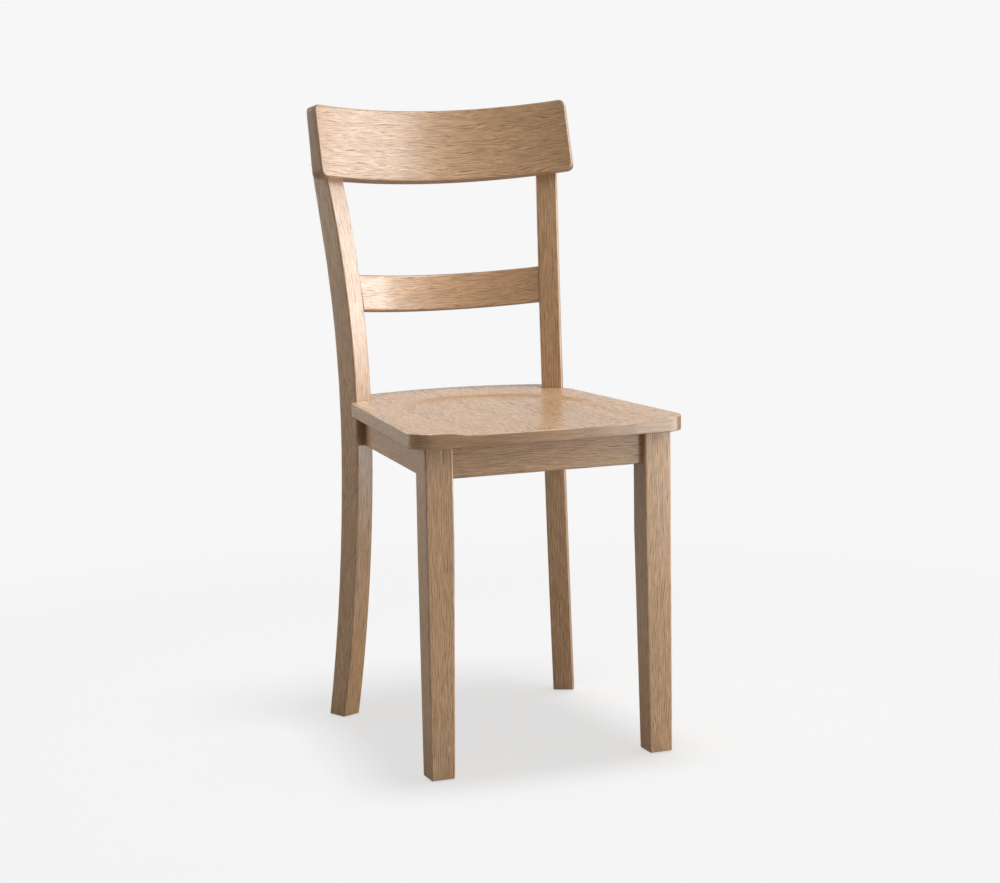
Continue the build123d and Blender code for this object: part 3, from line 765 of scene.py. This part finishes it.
def bent_grain(at, middle, up, back, radius):
    """Where a point of a bent rail lay in its straight board."""
    out = at - middle
    depth = out.dot(back) + radius
    turn = math.atan2(out.x, depth)
    return Vector((turn * radius, out.dot(up), math.hypot(out.x, depth) - radius))


oak_back = wood("oak_back", oak_pale, oak_dark, wave=1.8)
lumbar_log = Vector((15.0, 0.11, 0.14))
finish_board(
    lumbar,
    "lumbar_rail",
    oak_back,
    lambda at: bent_grain(at, lumbar_middle, lumbar_up, lumbar_back, lumbar_radius) + lumbar_log,
)
dress("lumbar_dowels", dowel_wood)

# Crest rail: a wide oak board bent to an arc, thinner towards its top, with rounded corners. It is
# housed over the fronts of the posts and screwed from behind, and wood plugs cover the screws.
crest_middle = Vector((0, 185.4, 757)) * mm
crest_rake = math.radians(16.9)
crest_radius = 387.2 * mm
crest_half_width = 187.5 * mm
crest_half_turn = math.asin(crest_half_width / crest_radius)
crest_height = 102.6 * mm
crest_thickness = 21.8 * mm
crest_taper = math.tan(math.radians(1.8))
crest_corner = 9 * mm
crest_arris = 2.5 * mm
crest_up = Vector((0, math.sin(crest_rake), math.cos(crest_rake)))
crest_back = Vector((0, math.cos(crest_rake), -math.sin(crest_rake)))
crest_half_length = crest_radius * crest_half_turn
crest_end_x = 181 * mm
crest_rows = 8
crest_corner_steps = 8
crest_face_steps = 56


def crest_columns(inset):
    """Upright lines over the face of the rail, set in from its outline: place, low and high end."""
    half = crest_half_length - inset
    corner = crest_corner - inset
    columns = []
    for step in range(crest_corner_steps + 1):
        turn = math.radians(90) * step / crest_corner_steps
        columns.append((half - corner + corner * math.cos(turn), corner * (1 - math.sin(turn))))
    for step in range(1, crest_face_steps):
        columns.append(((half - corner) * (1 - 2 * step / crest_face_steps), 0.0))
    columns += [(-place, rise) for place, rise in columns[crest_corner_steps::-1]]
    return [(place, inset + rise, crest_height - inset - rise) for place, rise in columns]


crest = bmesh.new()
arris = crest.verts.layers.float.new("arris")
end = crest.faces.layers.float.new("end_grain")


def crest_layer(inset, depth, from_back, worn, whole):
    """One layer of the rail's thickness: the whole face, or only its rim."""
    layer = []
    columns = crest_columns(inset)
    for number, (place, low, high) in enumerate(columns):
        column = []
        for row in range(crest_rows + 1):
            inner = 0 < row < crest_rows and 0 < number < len(columns) - 1
            if inner and not whole:
                column.append(None)
                continue
            height = low + (high - low) * row / crest_rows
            turn = place / crest_radius
            thickness = crest_thickness - height * crest_taper * math.cos(turn)
            radius = crest_radius + (thickness - depth if from_back else depth)
            out = crest_back * (radius * math.cos(turn) - crest_radius) + crest_up * height
            vert = crest.verts.new(crest_middle + out + Vector((radius * math.sin(turn), 0, 0)))
            vert[arris] = worn
            column.append(vert)
        layer.append(column)
    return layer


def rim(layer):
    """The outline of a layer, in order."""
    outline = [column[0] for column in layer] + layer[-1][1:]
    outline += [column[-1] for column in layer[-2::-1]]
    return outline + layer[0][-2:0:-1]


halves = []
for from_back in (False, True):
    half = []
    for step in range(arris_steps + 1):
        turn = math.pi / 2 * step / arris_steps
        inset = crest_arris * (1 - math.sin(turn))
        depth = crest_arris * (1 - math.cos(turn))
        half.append(crest_layer(inset, depth, from_back, math.sin(2 * turn), step == 0))
    halves.append(half)
layers = halves[0] + halves[1][::-1]
for face in (layers[0], layers[-1]):
    for left, right in zip(face, face[1:]):
        for row in range(crest_rows):
            crest.faces.new((left[row], right[row], right[row + 1], left[row + 1]))
for front, back in zip(layers, layers[1:]):
    front_rim = rim(front)
    back_rim = rim(back)
    for here in range(len(front_rim)):
        wall = (front_rim[here - 1], front_rim[here], back_rim[here], back_rim[here - 1])
        crest.faces.new(wall)[end] = 1.0 if abs(wall[0].co.x) > crest_end_x else 0.0
crest_log = Vector((19.0, 0.1, 0.16))
finish_board(
    crest,
    "crest_rail",
    oak_back,
    lambda at: bent_grain(at, crest_middle, crest_up, crest_back, crest_radius) + crest_log,
)
dress("crest_screws", steel)
plug_turn = math.radians(-70)
oak_plug = wood("oak_plug", oak_pale, oak_dark, turned=(0, plug_turn, 0))
dress("crest_screw_plugs", oak_plug)

# Studio: a pale floor that fades into a white backdrop behind the chair and is clear from below, a
# dim room in front, large soft lamps, and the camera of the photograph.
backdrop = 0.93
room_light = 0.35
room_gloss = 0.04
screen_gloss = 0.64
surroundings = bpy.data.worlds.new("white_room")
bpy.context.scene.world = surroundings
surroundings.use_nodes = True
room = Wire(surroundings.node_tree)
camera_ray = room.node("LightPath", output="Is Camera Ray")
glossy_ray = room.node("LightPath", output="Is Glossy Ray")
direction = room.node("TexCoord", output="Generated")
sideways = room.node("SeparateXYZ", None, {0: direction}, "X")
backwards = room.node("SeparateXYZ", None, {0: direction}, "Y")
behind = fade(backwards * 0.9 + sideways * 0.45, 0.3, 1.0)
mirrored_room = behind * screen_gloss + room_gloss
plain_room = (1 - camera_ray - glossy_ray) * room_light
strength = camera_ray * backdrop + glossy_ray * mirrored_room + plain_room
glow = surroundings.node_tree.nodes["Background"]
strength.feed(glow.inputs["Color"])
glow.inputs["Strength"].default_value = 1.0

floor_mesh = bpy.data.meshes.new("floor")
floor_half = 4.0
floor_paint = 0.45
floor_glow = 0.595
floor_gloss_loss = 0.4
floor_fade_start = 0.75
floor_fade_end = 1.6
corners = [(-1, -1), (1, -1), (1, 1), (-1, 1)]
corners = [(x * floor_half, y * floor_half, 0) for x, y in corners]
floor_mesh.from_pydata(corners, [], [(0, 1, 2, 3)])
floor = bpy.data.objects.new("floor", floor_mesh)
bpy.context.scene.collection.objects.link(floor)
floor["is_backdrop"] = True
paper = bpy.data.materials.new("floor_paper")
paper.use_nodes = True
tree = paper.node_tree
shader = tree.nodes["Principled BSDF"]
blank = Wire(tree)
spot = blank.node("TexCoord", output="Object")
reach = spot.node("VectorMath", {"operation": "LENGTH"}, {0: spot}, "Value")
far = fade(reach, floor_fade_start, floor_fade_end)
underside = blank.node("NewGeometry", output="Backfacing")
camera_ray = blank.node("LightPath", output="Is Camera Ray")
glossy_ray = blank.node("LightPath", output="Is Glossy Ray")
paint = (1 - glossy_ray * floor_gloss_loss) * floor_paint
paint.feed(shader.inputs["Base Color"])
own_light = camera_ray * floor_glow
own_light.feed(shader.inputs["Emission Color"])
shader.inputs["Emission Strength"].default_value = 1.0
shader.inputs["Specular IOR Level"].default_value = 0.0
shader.inputs["Roughness"].default_value = 1.0
solid = Wire(tree, shader.outputs["BSDF"])
clear = blank.node("BsdfTransparent")
hidden = blank.sum("MAXIMUM", far, underside) * camera_ray
faded = blank.node("MixShader", None, {0: hidden, 1: solid, 2: clear})
faded.feed(tree.nodes["Material Output"].inputs["Surface"])
floor_mesh.materials.append(paper)

# The lamp overhead is flagged to the seat and the floor, so the one shadow lies under the seat. The
# low softbox is kept off the seat, where it would glare from the side. Each lamp has its bearing
# and rise in degrees, its distance and size in metres and its power in watts.
lamp_aim = Vector((0, 0, 450 * mm))
chair = bpy.data.collections.new("chair")
legs_and_back = bpy.data.collections.new("legs_and_back")
seat_and_floor = bpy.data.collections.new("seat_and_floor")
for piece in bpy.context.scene.objects:
    if piece.type == "MESH":
        flat = piece == floor or piece.name.startswith("seat_panel")
        (seat_and_floor if flat else legs_and_back).objects.link(piece)
        if piece != floor:
            chair.objects.link(piece)
for name, bearing, rise, distance, size, power, lit in (
    ("lamp_right", 58, 45, 3.2, 2.2, 60, chair),
    ("softbox", 72, 17, 2.0, 0.8, 13, legs_and_back),
    ("lamp_left", -140, 14, 1.8, 1.2, 13, chair),
    ("reflector", 52, -13, 1.6, 1.4, 20, chair),
    ("lamp_over", 75, 86, 3.0, 0.7, 46, seat_and_floor),
):
    lamp = bpy.data.objects.new(name, bpy.data.lights.new(name, "AREA"))
    lamp.data.energy = power
    lamp.data.size = size
    turn = Matrix.Rotation(math.radians(bearing), 4, "Z")
    turn = turn @ Matrix.Rotation(math.radians(90 - rise), 4, "X")
    out = Matrix.Translation((0, 0, distance))
    lamp.matrix_world = Matrix.Translation(lamp_aim) @ turn @ out
    bpy.context.scene.collection.objects.link(lamp)
    lamp.light_linking.receiver_collection = lit

camera = bpy.data.objects.new("camera", bpy.data.cameras.new("camera"))
camera.data.sensor_width = 36
camera.data.lens = 84.48
camera_place = Vector((-1.16095, -2.9747, 0.89494))
camera_yaw = math.radians(21.544)
camera_pitch = math.radians(8.721)
camera_roll = math.radians(-0.919)
aim = Matrix.Rotation(-camera_yaw, 4, "Z") @ Matrix.Rotation(math.pi / 2 - camera_pitch, 4, "X")
aim = aim @ Matrix.Rotation(camera_roll, 4, "Z")
camera.matrix_world = Matrix.Translation(camera_place) @ aim
bpy.context.scene.collection.objects.link(camera)
bpy.context.scene.camera = camera
bpy.context.scene.view_settings.view_transform = "Standard"

low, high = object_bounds()
